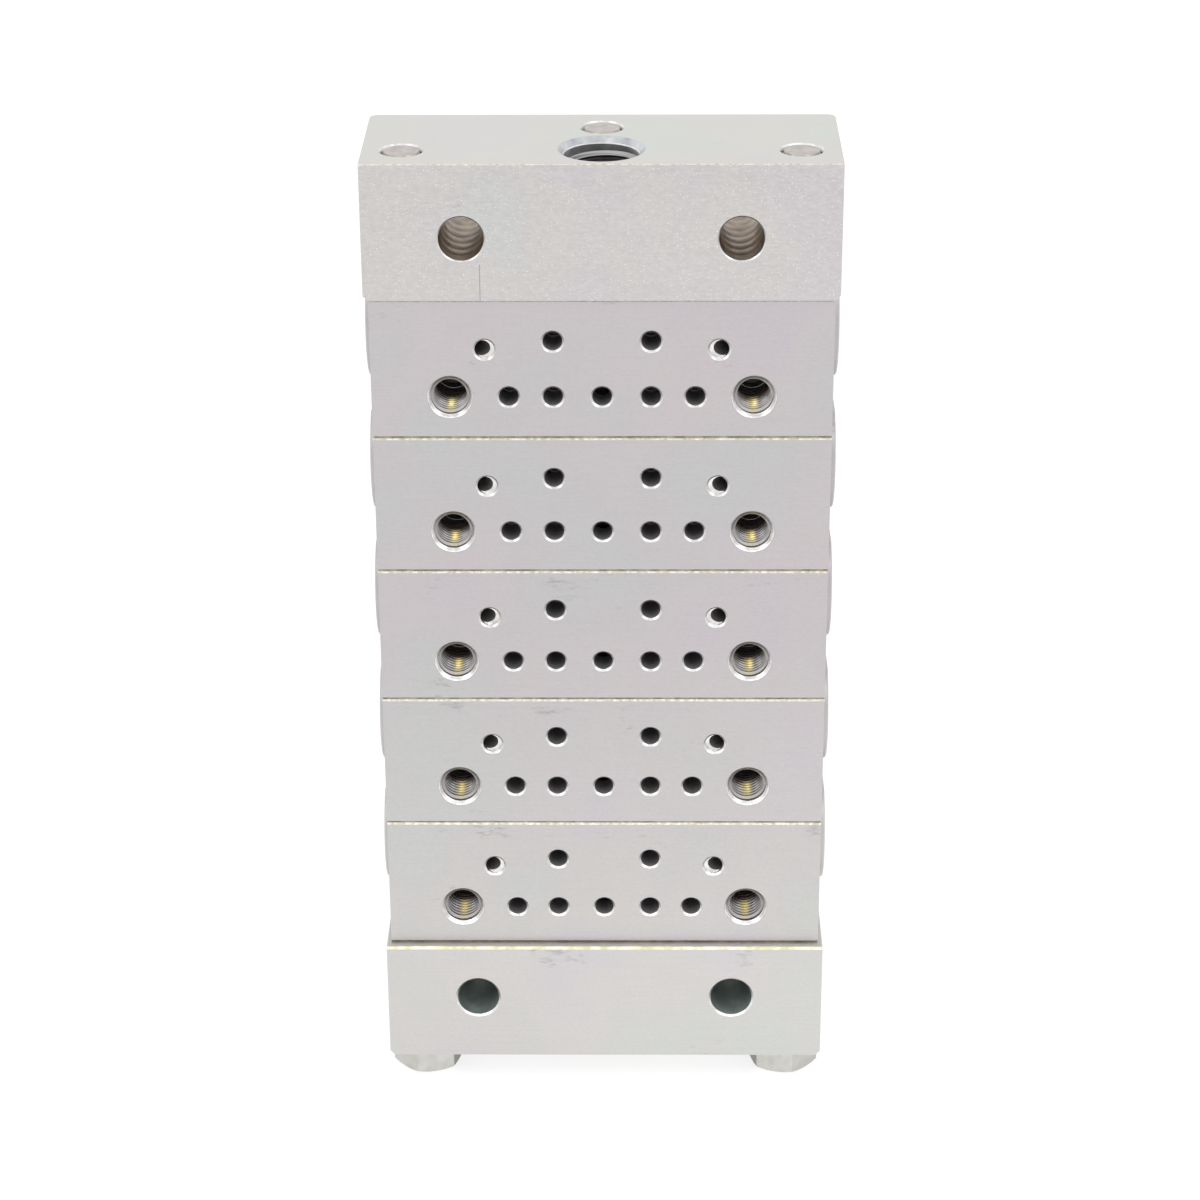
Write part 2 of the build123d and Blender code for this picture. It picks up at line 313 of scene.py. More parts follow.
def cut_steel(name, code, second_code, rough, size, metallic=1.0):
    """Turned or drilled steel under thin plate: its tone shifts in soft bands from one cut to the next.

    With no first code it takes the panel's colour for port walls.
    """
    material, add = new_material(name)
    first = linear(code) if code else (*bpy.context.scene.manifold_colours.bore, 1.0)
    tone = add("ShaderNodeTexNoise", {"Vector": millimetres(add), "Scale": 1 / size, "Detail": 2.0})
    steady = add("ShaderNodeMapRange", {"Value": tone, "From Min": 0.35, "From Max": 0.65})
    colour = add("ShaderNodeMix", {
        "Factor": steady, "A": first, "B": linear(second_code)}, data_type="RGBA")
    fine = add("ShaderNodeTexNoise", {"Vector": millimetres(add), "Scale": 1 / 0.2, "Detail": 2.0})
    roughness = add("ShaderNodeMapRange", {"Value": fine, "To Min": rough - 0.06, "To Max": rough + 0.08})
    close_surface(add, colour, roughness, metallic, height=fine, strength=0.05, distance=0.01)
    return material


def tapped_thread(name):
    """Plated thread: grey flanks with a painted highlight on the crests and painted shade in the roots, and
    painted shade beyond 6 mm deep.

    For the valve screw holes a painted gold glint, 2 mm wide, runs along the bottom of each hole.
    """
    material, add = new_material(name)
    depth, rise = (
        add("ShaderNodeAttribute", attribute_name=each).outputs["Fac"] for each in ("depth", "rise"))
    # painted shade: from 5.6 to 6.8 mm deep the turns go dark, where the light from the front no longer
    # reaches
    reach = add("ShaderNodeMapRange", {"Value": depth, "From Min": 5.6 * MM, "From Max": 6.8 * MM})
    # painted highlight on the crests, painted shade in the roots
    crest = add("ShaderNodeMapRange", {"Value": rise, "From Min": 0.62, "From Max": 0.95})
    # painted light: the first turn takes the lit crest tone all over
    first = add("ShaderNodeMapRange", {"Value": depth, "From Min": 1.1 * MM, "From Max": 0.7 * MM})
    crest = add("ShaderNodeMath", {0: crest, 1: first}, operation="MAXIMUM")
    tone = add("ShaderNodeMix", {
        "Factor": crest, "A": linear("4b494a"), "B": linear("b5b2b2")}, data_type="RGBA")
    if name == "Oiled thread":
        # painted glint: a gold strip down the bottom middle of each valve screw hole, fading in over the
        # first 3 mm, strongest on the crests
        across = add("ShaderNodeSeparateXYZ", {0: millimetres(add)}).outputs["X"]
        _, aside = off_pair(add, across, SCREW_X / MM)
        middle = add("ShaderNodeMapRange", {"Value": aside, "From Min": 1.15, "From Max": 0.3})
        start = add("ShaderNodeMapRange", {
            "Value": depth, "From Min": 0.8 * MM, "From Max": 3.0 * MM, "To Min": 0.25})
        painted_glint = add("ShaderNodeMath", {0: middle, 1: start}, operation="MULTIPLY")
        glint_share = add("ShaderNodeMapRange", {"Value": crest, "To Min": 0.35})
        painted_glint = add("ShaderNodeMath", {0: painted_glint, 1: glint_share}, operation="MULTIPLY")
        tone = add("ShaderNodeMix", {"Factor": painted_glint, "A": tone, "B": linear("dcc983")}, data_type="RGBA")
    colour = add("ShaderNodeMix", {"Factor": reach, "A": tone, "B": linear("5f5450")}, data_type="RGBA")
    # the mouth is scuffed dull, the turns behind it stay slick
    slick = add("ShaderNodeMapRange", {
        "Value": depth, "From Min": 0.6 * MM, "From Max": 3.0 * MM, "To Min": 0.48, "To Max": 0.25})
    close_surface(add, colour, slick, metallic=0.9)
    return material


def nut_zinc(name):
    """Plated nut: bright outer flats, and painted shade, a dark grey, on the flats turned in under the block.
    """
    material, add = new_material(name)
    place = millimetres(add)
    # painted shade: the flats turned in under the block lie 19 to 27 mm off the block's middle, and the
    # outermost flats beyond 33.4 mm, turned away, are painted a little darker
    side, from_shade = off_pair(add, add("ShaderNodeSeparateXYZ", {0: place}).outputs["X"], 23.0)
    outer = add("ShaderNodeMapRange", {"Value": from_shade, "From Min": 4.0, "From Max": 4.2})
    far_flat = add("ShaderNodeMapRange", {"Value": side, "From Min": 33.3, "From Max": 33.5, "To Max": 0.14})
    tone = add("ShaderNodeTexNoise", {"Vector": place, "Scale": 1 / 2.2, "Detail": 3.0})
    steady = add("ShaderNodeMapRange", {"Value": tone, "From Min": 0.35, "From Max": 0.65})
    bright = add("ShaderNodeMix", {
        "Factor": steady, "A": linear("d4d3cd"), "B": linear("c6c4be")}, data_type="RGBA")
    bright = add("ShaderNodeMix", {
        "Factor": far_flat, "A": bright, "B": linear("8d8c86")}, data_type="RGBA")
    colour = add("ShaderNodeMix", {"Factor": outer, "A": linear("75746e"), "B": bright}, data_type="RGBA")
    close_surface(add, colour, 0.3, height=tone, strength=0.15, distance=0.1)
    return material


def moulded_rubber(name):
    """Moulded nitrile rubber: near black, dull, with a fine matt grain."""
    material, add = new_material(name)
    rubber = (*bpy.context.scene.manifold_colours.rubber, 1.0)
    grain = add("ShaderNodeTexNoise", {"Vector": millimetres(add), "Scale": 1 / 0.15, "Detail": 2.0})
    tone = add("ShaderNodeMix", {"Factor": grain, "A": rubber, "B": linear("262627")}, data_type="RGBA")
    close_surface(add, tone, 0.7, metallic=0.0, height=grain, strength=0.2, distance=0.02)
    return material


# maker of each finish, and for plate its tones low and high on the stack and its cut, for steel its two
# tones, roughness, size of the bands in millimetres and how metallic it is
FINISHES = {
    "Zinc plate on sawn bar": (zinc_plate, "d8d6d5", "d8d6d5", "sawn"),
    # its paler low tone is painted light off the table
    "Zinc plate on milled section": (zinc_plate, "dad9d7", "d0ccce", "milled"),
    "Zinc plate on end block": (zinc_plate, "dedddb", "dedddb", "milled"),
    # smooth ground top, its paler tone painted light from above
    "Zinc plate on ground top": (zinc_plate, "e4e4e0", "e4e4e0", "ground"),
    # a light ring round every mouth
    "Bright countersink": (cut_steel, "f0efed", "d4d2d0", 0.30, 1.2),
    # a dark wall under an oil film, in the panel's colour for port walls
    "Oily drilled bore": (cut_steel, None, "958d90", 0.42, 2.4, 0.15),
    # mid grey, where little light comes in along the slanting drilling
    "Shaded cross drilling": (cut_steel, "827c7d", "757071", 0.45, 2.4, 0.1),
    # greenish grey, lit from both ends
    "Through bore": (cut_steel, "a3aeaa", "8d9793", 0.36, 3.0, 0.3),
    # warm pale metal
    "Plated bore": (cut_steel, "c2bdb6", "a39d96", 0.30, 2.6),
    # brown metal, its tone a painted reflection of light coming back off the oiled walls
    "Amber bore": (cut_steel, "a3927f", "786b5e", 0.30, 2.6),
    # a dull strip in the shade of each joint
    "Joint groove": (cut_steel, "cdc6bb", "a59e94", 0.45, 1.4),
    # a pale yellow worn line along each joint, broken by painted white glints
    "Worn zinc edge": (cut_steel, "cbc8b2", "f5f3ea", 0.38, 0.8),
    # the same line and painted glints, where thicker plate turned yellow
    "Yellowed zinc edge": (cut_steel, "d2d0a6", "f4f3dc", 0.38, 1.6),
    # cool bright steel, freshly turned
    "Port steel": (cut_steel, "d9dbdd", "b3b6ba", 0.30, 3.0),
    # satin rod ends, a little warmer than the blocks
    "Zinc plated rod": (cut_steel, "cdc7c3", "bbb6b3", 0.42, 1.6),
    # mid grey with the sheen of a turned part
    "Turned cartridge steel": (cut_steel, "9c9a96", "84827f", 0.30, 1.0),
    "Plated thread": (tapped_thread,),
    "Oiled thread": (tapped_thread,),
    "Zinc plated nut": (nut_zinc,),
    "Moulded nitrile rubber": (moulded_rubber,),
}
MADE = {}


def finish(name):
    """One finish by name, made when it is first asked for."""
    if name not in MADE:
        maker, *details = FINISHES[name]
        MADE[name] = maker(name, *details)
    return MADE[name]


# ---- meshes
def link_object(name, mesh):
    """A new object in the scene for a mesh."""
    made = bpy.data.objects.new(name, mesh)
    bpy.context.scene.collection.objects.link(made)
    return made


def mesh_object(name, bm, finishes):
    """A new object from a bmesh, with its finishes in slot order."""
    mesh = bpy.data.meshes.new(name)
    bm.normal_update()
    bm.to_mesh(mesh)
    bm.free()
    for each in finishes:
        mesh.materials.append(finish(each))
    return link_object(name, mesh)


def add_turned(bm, mouth, inward, profile, steps):
    """Add a closed turned solid to a bmesh.

    Profile holds depth and radius in millimetres, and the slot of the band that follows.
    """
    inward = Vector(inward).normalized()
    side = inward.orthogonal().normalized()
    if abs(inward.z) < 0.9:
        side = inward.cross(Vector((0, 0, 1))).normalized()
    up = inward.cross(side)
    angles = [2 * pi * k / steps for k in range(steps)]
    rings = []
    for depth, radius, _ in profile:
        centre = Vector(mouth) + inward * (depth * MM)
        if radius == 0:
            rings.append([bm.verts.new(centre)])
        else:
            rings.append([bm.verts.new(centre + radius * MM * (cos(a) * side + sin(a) * up)) for a in angles])
    faces = []

    def add_face(corners, slot):
        face = bm.faces.new(corners)
        face.material_index = slot
        faces.append(face)

    for (_, _, slot), near, far in zip(profile, rings, rings[1:]):
        for k in range(steps):
            n = (k + 1) % steps
            if len(near) == 1:
                add_face((near[0], far[n], far[k]), slot)
            elif len(far) == 1:
                add_face((near[k], near[n], far[0]), slot)
            else:
                add_face((near[k], near[n], far[n], far[k]), slot)
    for ring, (_, _, slot) in ((rings[0], profile[0]), (rings[-1], profile[-1])):
        if len(ring) > 1:
            add_face(ring, slot)
    bmesh.ops.recalc_face_normals(bm, faces=faces)


def add_box(bm, low, high):
    """Add a closed box to a bmesh."""
    corners = [bm.verts.new((x, y, z)) for x in (low[0], high[0]) for y in (low[1], high[1])
               for z in (low[2], high[2])]
    for ids in ((0, 1, 3, 2), (4, 6, 7, 5), (0, 4, 5, 1), (2, 3, 7, 6), (0, 2, 6, 4), (1, 5, 7, 3)):
        bm.faces.new([corners[i] for i in ids])


def bevel_where(bm, test, width, steps, slot=None):
    """Bevel the real edges whose two ends pass a test."""
    bm.normal_update()
    edges = [e for e in bm.edges if e.calc_face_angle() > radians(40) and test(e.verts[0].co, e.verts[1].co)]
    made = bmesh.ops.bevel(bm, geom=edges, offset=width, segments=steps, affect="EDGES", profile=0.5)
    if slot is not None:
        for face in made["faces"]:
            face.material_index = slot


def edge_is_long(a, b):
    """True for an edge that runs along a block's side and not round a bevel."""
    return (a - b).length > 5 * MM


def shade_groove(bm, height):
    """Part a front chamfer along a level line: the strip above it lies in the joint and stays dull."""
    bmesh.ops.bisect_plane(bm, geom=bm.verts[:] + bm.edges[:] + bm.faces[:], plane_co=(0, 0, height),
                           plane_no=(0, 0, 1))
    bm.normal_update()
    for face in bm.faces:
        # painted shade: chamfer faces turned down take the groove finish, as does the strip above the line
        if face.material_index == EDGE and (face.normal.z < -0.3 or face.calc_center_median().z > height):
            face.material_index = GROOVE


def combine(target, other, how):
    """Apply one exact Boolean to an object and drop the other object."""
    modifier = target.modifiers.new("combine", "BOOLEAN")
    modifier.operation, modifier.solver, modifier.object = how, "EXACT", other
    modifier.use_self = True
    bpy.context.view_layer.update()
    mesh = bpy.data.meshes.new_from_object(target.evaluated_get(bpy.context.evaluated_depsgraph_get()))
    target.modifiers.remove(modifier)
    old = target.data
    target.data = mesh
    mesh.name = old.name
    bpy.data.meshes.remove(old)
    bpy.data.objects.remove(other)


def smooth(piece, degrees=28):
    """Shade curved faces smooth and keep every real edge sharp."""
    piece.data.shade_smooth()
    piece.data.set_sharp_from_angle(angle=radians(degrees))


def tidy(piece):
    """Merge doubled points and give the faces clean shading."""
    bm = bmesh.new()
    bm.from_mesh(piece.data)
    bmesh.ops.remove_doubles(bm, verts=bm.verts, dist=0.0005 * MM)
    bmesh.ops.dissolve_degenerate(bm, edges=bm.edges, dist=0.0005 * MM)
    bm.to_mesh(piece.data)
    bm.free()
    smooth(piece)


def settle(piece, *nodes, slot):
    """Let a finished piece ride on the body and stand for its solids."""
    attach(piece, "root")
    if nodes:
        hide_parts(*nodes)


# ---- what the blocks share
def wide_blank(low, high):
    """The inlet or end block before drilling, with round back corners and broken lower side edges."""
    bm = bmesh.new()
    add_box(bm, (-BLOCK_HALF, low.y, low.z), (BLOCK_HALF, BACK, high.z))
    bevel_where(bm, lambda a, b: min(a.y, b.y) > BACK - MM and abs(a.z - b.z) > MM, 1.6 * MM, 6)
    bevel_where(bm, lambda a, b: max(a.z, b.z) < low.z + NEAR and abs(a.x) > BLOCK_HALF - NEAR
                and abs(a.x - b.x) < NEAR, 0.9 * MM, 1)
    return bm


def add_rod_holes(cut, top, profile, steps):
    """Add the cutters of the three tie rod holes, down from a level."""
    for place in ROD_PLACES.values():
        add_turned(cut, (place.x, place.y, top), (0, 0, -1), profile, steps)


def add_mounting_holes(cut, face, height, depth, chamfer, wall, steps):
    """Add the cutters of the two mounting holes, countersunk at both ends of a block's depth."""
    radius, past = 3.63, 0.5
    mouth = radius + chamfer + past
    for side in (-1, 1):
        add_turned(cut, (side * MOUNT_X, face, height), (0, 1, 0), (
            (-past, mouth, RIM), (chamfer, radius, wall), (depth - chamfer, radius, RIM),
            (depth + past, mouth, RIM)), steps)


def drill(block, cut, finishes):
    """Take the cutters out of a block."""
    combine(block, mesh_object("cut", cut, finishes), "DIFFERENCE")
    tidy(block)


# ---- node trees for what repeats
def new_tree(name, *sockets):
    """A geometry tree with its named inputs, as the tree, add_node for it and the inputs' sockets."""
    tree = bpy.data.node_groups.new(name, "GeometryNodeTree")
    tree.interface.new_socket("Geometry", in_out="OUTPUT", socket_type="NodeSocketGeometry")
    for label, kind, value in (("Geometry", "Geometry", None),) + sockets:
        made = tree.interface.new_socket(label, in_out="INPUT", socket_type=f"NodeSocket{kind}")
        if value is not None:
            made.default_value = value
    return tree, partial(add_node, tree), tree.nodes.new("NodeGroupInput").outputs


def close_tree(add, instances, material):
    """End a tree: its instances made real, in their finish."""
    real = add("GeometryNodeRealizeInstances", {"Geometry": instances})
    done = add("GeometryNodeSetMaterial", {"Geometry": real, "Material": material})
    add("NodeGroupOutput", {"Geometry": done})


def thread_tree():
    """Thread turns: a ridge of diamond section wound into each hole of a cloud of hole mouths."""
    tree, add, given = new_tree(
        "Thread turns", ("Radius", "Float", 3 * MM), ("End radius", "Float", 3 * MM),
        ("Ridge", "Float", 0.3 * MM), ("Pitch", "Float", 0.9 * MM), ("Ridge width", "Float", 0.8 * MM),
        ("Turns", "Float", 8.0), ("Steps", "Int", 40), ("Finish", "Material", None))
    height = add("ShaderNodeMath", {0: given["Pitch"], 1: given["Turns"]}, operation="MULTIPLY")
    spiral = add("GeometryNodeCurveSpiral", {
        "Resolution": given["Steps"], "Rotations": given["Turns"], "Start Radius": given["Radius"],
        "End Radius": given["End radius"], "Height": height})
    upright = add("GeometryNodeSetCurveNormal", {"Curve": spiral}, mode="Z_UP")
    double = add("ShaderNodeMath", {0: given["Ridge"], 1: 2.0}, operation="MULTIPLY")
    half_width = add("ShaderNodeMath", {0: given["Ridge width"], 1: 0.5}, operation="MULTIPLY")
    ridge = add("GeometryNodeCurvePrimitiveQuadrilateral", {
        "Width": double, "Bottom Height": half_width, "Top Height": half_width}, mode="KITE")
    # the finish reads how far a point stands out of the wall, and how deep in the hole it is
    across = add("ShaderNodeSeparateXYZ", {0: add("GeometryNodeInputPosition")}).outputs["X"]
    share = add("ShaderNodeMath", {0: across, 1: given["Ridge"]}, operation="DIVIDE")
    section = add("GeometryNodeStoreNamedAttribute", {
        "Geometry": ridge, "Name": "rise", "Value": share}, data_type="FLOAT", domain="POINT")
    wound = add("GeometryNodeCurveToMesh", {"Curve": upright, "Profile Curve": section, "Fill Caps": True})
    deep = add("ShaderNodeSeparateXYZ", {0: add("GeometryNodeInputPosition")}).outputs["Z"]
    marked = add("GeometryNodeStoreNamedAttribute", {
        "Geometry": wound, "Name": "depth", "Value": deep}, data_type="FLOAT", domain="POINT")
    inward = add("GeometryNodeInputNamedAttribute", {"Name": "inward"}, data_type="FLOAT_VECTOR")
    turn = add("FunctionNodeAlignRotationToVector", {"Vector": inward}, axis="Z")
    placed = add("GeometryNodeInstanceOnPoints", {
        "Points": given["Geometry"], "Instance": marked, "Rotation": turn})
    close_tree(add, placed, given["Finish"])
    return tree


def nut_tree():
    """Hex nut: a six-sided prism turned down at its corners and bored, put over each rod."""
    tree, add, given = new_tree(
        "Hex nut", ("Across flats", "Float", 11.11 * MM), ("Height", "Float", 5.56 * MM),
        ("Bore radius", "Float", 3.18 * MM), ("Finish", "Material", None))
    flats, bore_radius = given["Across flats"], given["Bore radius"]
    half = add("ShaderNodeMath", {0: given["Height"], 1: 0.5}, operation="MULTIPLY")
    corner = add("ShaderNodeMath", {0: flats, 1: 1 / sqrt(3)}, operation="MULTIPLY")
    prism = add("GeometryNodeMeshCylinder", {"Vertices": 6, "Radius": corner, "Depth": given["Height"]})
    # two blunt cones of 28 degrees that meet at mid height take the corners down at both ends
    wide = add("ShaderNodeMath", {0: flats, 1: 0.5 * 0.97}, operation="MULTIPLY")
    slope = add("ShaderNodeMath", {0: half, 1: 1 / tan(radians(28))}, operation="MULTIPLY")
    reach = add("ShaderNodeMath", {0: wide, 1: slope}, operation="ADD")
    down = add("ShaderNodeMath", {0: half, 1: -1.0}, operation="MULTIPLY")
    low_cone = add("GeometryNodeTransform", {
        "Geometry": add("GeometryNodeMeshCone", {
            "Vertices": 96, "Radius Bottom": wide, "Radius Top": reach, "Depth": half}),
        "Translation": add("ShaderNodeCombineXYZ", {"Z": down})})
    high_cone = add("GeometryNodeMeshCone", {
        "Vertices": 96, "Radius Bottom": reach, "Radius Top": wide, "Depth": half})
    shell = add("GeometryNodeMeshBoolean", {1: [low_cone, high_cone]}, operation="UNION", solver="EXACT")
    nut = add("GeometryNodeMeshBoolean", {1: [prism, shell]}, operation="INTERSECT", solver="EXACT")
    # the bore, and a countersink 0.5 mm deep under the nut
    bore = add("GeometryNodeMeshCylinder", {"Vertices": 64, "Radius": bore_radius, "Depth": 0.02})
    mouth_wide = add("ShaderNodeMath", {0: bore_radius, 1: 0.9 * MM}, operation="ADD")
    lower = add("ShaderNodeMath", {0: down, 1: 0.4 * MM}, operation="SUBTRACT")
    mouth = add("GeometryNodeTransform", {
        "Geometry": add("GeometryNodeMeshCone", {
            "Vertices": 64, "Radius Bottom": mouth_wide, "Radius Top": 0.0, "Depth": mouth_wide}),
        "Translation": add("ShaderNodeCombineXYZ", {"Z": lower})})
    for cutter in (bore, mouth):
        nut = add("GeometryNodeMeshBoolean", {0: nut, 1: cutter}, operation="DIFFERENCE", solver="EXACT")
    angle = add("GeometryNodeInputNamedAttribute", {"Name": "turn"}, data_type="FLOAT")
    placed = add("GeometryNodeInstanceOnPoints", {"Points": given["Geometry"], "Instance": nut})
    turned = add("GeometryNodeRotateInstances", {
        "Instances": placed, "Rotation": add("ShaderNodeCombineXYZ", {"Z": angle})})
    close_tree(add, turned, given["Finish"])
    return tree


def grow(name, tree_name, build, places, values, attribute):
    """Run a node tree, built when first needed, on a cloud of places and return a plain mesh object."""
    tree = bpy.data.node_groups.get(tree_name) or build()
    seed = bpy.data.meshes.new(name)
    seed.from_pydata([tuple(p) for p in places], [], [])
    key, kind, numbers = attribute
    for item, number in zip(seed.attributes.new(key, kind, "POINT").data, numbers):
        setattr(item, "vector" if kind == "FLOAT_VECTOR" else "value", number)
    holder = link_object(name, seed)
    modifier = holder.modifiers.new(tree.name, "NODES")
    modifier.node_group = tree
    for socket in tree.interface.items_tree:
        if socket.in_out == "INPUT" and socket.name in values:
            modifier[socket.identifier] = values[socket.name]
    bpy.context.view_layer.update()
    mesh = bpy.data.meshes.new_from_object(holder.evaluated_get(bpy.context.evaluated_depsgraph_get()))
    holder.modifiers.remove(modifier)
    holder.data = mesh
    bpy.data.meshes.remove(seed)
    mesh.name = name
    if len(mesh.polygons) == 0:
        raise RuntimeError(f"{name} came out empty")
    return holder


def wind_thread(name, mouths, radii, ridge, pitch, width, turns, steps, wears, slot):
    """Thread turns for a set of (mouth, inward) pairs, from the first radius to the second."""
    piece = grow(name, "Thread turns", thread_tree, [m for m, _ in mouths],
                 {"Radius": radii[0] * MM, "End radius": radii[1] * MM, "Ridge": ridge * MM,
                  "Pitch": pitch, "Ridge width": width, "Turns": turns, "Steps": steps,
                  "Finish": finish(wears)},
                 ("inward", "FLOAT_VECTOR", [i for _, i in mouths]))
    smooth(piece, 40)
    settle(piece, slot=slot)


# ---- operators
class MANIFOLD_OT_inlet_block(bpy.types.Operator):
    """Build the inlet block with its top port, rod mouths and mounting holes"""
    bl_idname = "manifold.inlet_block"
    bl_label = "Inlet Block"

    def execute(self, context):
        sizes = context.scene.manifold_sizes
        steps = sizes.circle_steps
        bm = wide_blank(INLET_LOW, INLET_HIGH)
        bevel_where(bm, edge_is_long, sizes.edge_round, 2)
        bm.normal_update()
        # the top face takes the ground finish, painted paler as if lit from above; bevel faces turned up to
        # the front take the edge line with its painted glints
        for face in bm.faces:
            if face.normal.z > 0.99:
                face.material_index = CROWN
            elif face.normal.z > 0.2 and face.normal.y < -0.2:
                face.material_index = EDGE
        block = mesh_object("inlet_block_body", bm, INLET_FINISHES)

        # pipe port with a bright inner lip, drill point and gallery
        cut = bmesh.new()
        add_turned(cut, (0, FEED_Y, TOP), (0, 0, -1), (
            (-1, 7.95, BORE), (0.88, 6.17, RIM), (1.05, 6, BORE), (1.9, 5.98, BORE), (12.4, 5.9, BORE),
            (15.2, GALLERY_RADIUS, BORE), (24, GALLERY_RADIUS, BORE)), 80)
        add_rod_holes(cut, TOP, ((-0.3, 3.9, RIM), (0.3, 3.42, BORE), (0.6, 3.24, BORE), (24, 3.24, BORE)),
                      steps)
        add_mounting_holes(cut, INLET_LOW.y, INLET_MOUNT_Z, 26.99, 0.22, PORT, steps)
        drill(block, cut, INLET_FINISHES)
        settle(block, "inlet_block", slot="zinc_plated_steel")
        return {"FINISHED"}


class MANIFOLD_OT_section_blocks(bpy.types.Operator):
    """Build one ported section and stack it five times"""
    bl_idname = "manifold.section_blocks"
    bl_label = "Section Blocks"

    def execute(self, context):
        sizes = context.scene.manifold_sizes
        steps = sizes.circle_steps
        bm = bmesh.new()
        add_box(bm, (-SECTION_HALF, FRONT, 0), (SECTION_HALF, BACK, SECTION_STEP))
        bevel_where(bm, lambda a, b: max(a.y, b.y) < FRONT + NEAR and abs(a.z - b.z) < NEAR,
                    0.36 * MM, 1, EDGE)
        bevel_where(bm, lambda a, b: edge_is_long(a, b) and (abs(a.z - b.z) > MM
                                                            or max(a.y, b.y) > FRONT + 5 * MM),
                    sizes.edge_round, 2)
        shade_groove(bm, SECTION_STEP - 0.07 * MM)
        block = mesh_object("section_body_1", bm, SECTION_FINISHES)
        outlet_z = SECTION_STEP - OUTLET_DROP
        for side in (-1, 1):
            # round boss, cut off level with the section's top, back and lower front
            boss = bmesh.new()
            add_turned(boss, (side * BOSS_FACE, OUTLET_Y, outlet_z), (-side, 0, 0), (
                (0, 9.8, PLATE), (0.2, 10, PLATE), (3, 10, PLATE)), 96)
            trim = bmesh.new()
            add_box(trim, (-60 * MM, FRONT + 0.5 * MM, 0.3 * MM), (60 * MM, BACK, SECTION_STEP))
            boss_object = mesh_object("boss", boss, SECTION_FINISHES)
            combine(boss_object, mesh_object("trim", trim, SECTION_FINISHES), "INTERSECT")
            combine(block, boss_object, "UNION")

        cut = bmesh.new()
        rim, radius = sizes.port_rim / MM, sizes.port_radius / MM
        mouth = (-0.4, radius + rim + 0.4, RIM)
        low, high = ROW_MARGIN, SECTION_STEP - ROW_MARGIN

        def port(x, z):
            inner = radius - 0.2
            add_turned(cut, (x, FRONT, z), (0, 1, 0), (
                mouth, (rim, radius, BORE), (PORT_DEPTH - 0.9, radius, BORE),
                (PORT_DEPTH - 0.87, inner, BORE), (PORT_DEPTH, inner, BORE),
                (PORT_DEPTH + 0.8, 0, BORE)), steps)

        wide = 3.24 + sizes.screw_rim / MM
        port(0, low)
        for side in (-1, 1):
            for x, z in ((PORT_INNER, low), (PORT_OUTER, low), (PORT_INNER, high)):
                port(side * x, z)
            # valve screw hole: countersink with two thin bright lines, tapped wall, drilled end
            add_turned(cut, (side * SCREW_X, FRONT, low), (0, 1, 0), (
                (-0.3, wide, BORE), (0.02, wide, BORE), (0.04, wide - 0.03, RIM), (0.31, wide - 0.3, BORE),
                (0.33, wide - 0.32, RIM), (0.62, 3.14, PORT), (6, 3.14, BORE), (11.2, 2.75, GROOVE),
                (11.22, 2.67, BORE), (12.9, 2.5, BORE), (14.2, 0, BORE)), steps)
            # outlet: countersink, tapped wall, and the seat of the check valve cartridge
            add_turned(cut, (side * BOSS_FACE, OUTLET_Y, outlet_z), (-side, 0, 0), (
                (-0.5, 5.9, RIM), (0.7, 4.7, PORT), (7.4, 4.45, PORT), (7.401, 3.93, PORT),
                (10.9, 3.93, BORE), (12.5, 0, BORE)), 64)
            # slanting drilling from the front to the outlet's seat, and its countersunk mouth
            start = Vector((side * CROSS_X, FRONT, outlet_z))
            run = Vector((side * (BOSS_FACE - 10.9 * MM - CROSS_X), OUTLET_Y - FRONT, 0))
            add_turned(cut, start + Vector((side * 0.12, 0.3, 0)) * MM, run, (
                (0, 1.3, CROWN), (run.length / MM, 1.3, CROWN)), steps)
            add_turned(cut, start, (0, 1, 0), (
                mouth, (rim, radius, RIM), (0.95, radius, RIM), (1.25, 0, RIM)), steps)
        # feed gallery, the seal's pocket in the lower face, and the rod holes
        add_turned(cut, (0, FEED_Y, SECTION_STEP), (0, 0, -1), (
            (-1, GALLERY_RADIUS, BORE), (STEP_MM + 1, GALLERY_RADIUS, BORE)), steps)
        add_turned(cut, (0, FEED_Y, 0), (0, 0, 1), ((-1, 4.67, PORT), (1.4, 4.67, PORT)), steps)
        add_rod_holes(cut, SECTION_STEP, ((-1, ROD_HOLE, BORE), (STEP_MM + 1, ROD_HOLE, BORE)), steps)
        drill(block, cut, SECTION_FINISHES)

        master = block.data
        for number in range(1, SECTIONS + 1):
            mesh = master.copy()
            mesh.name = f"section_body_{number}"
            mesh.transform(Matrix.Translation((0, 0, INLET_LOW.z - number * SECTION_STEP)))
            piece = link_object(mesh.name, mesh) if number > 1 else block
            piece.data = mesh
            settle(piece, f"section_block_{number}", slot="zinc_plated_steel")
        bpy.data.meshes.remove(master)
        return {"FINISHED"}


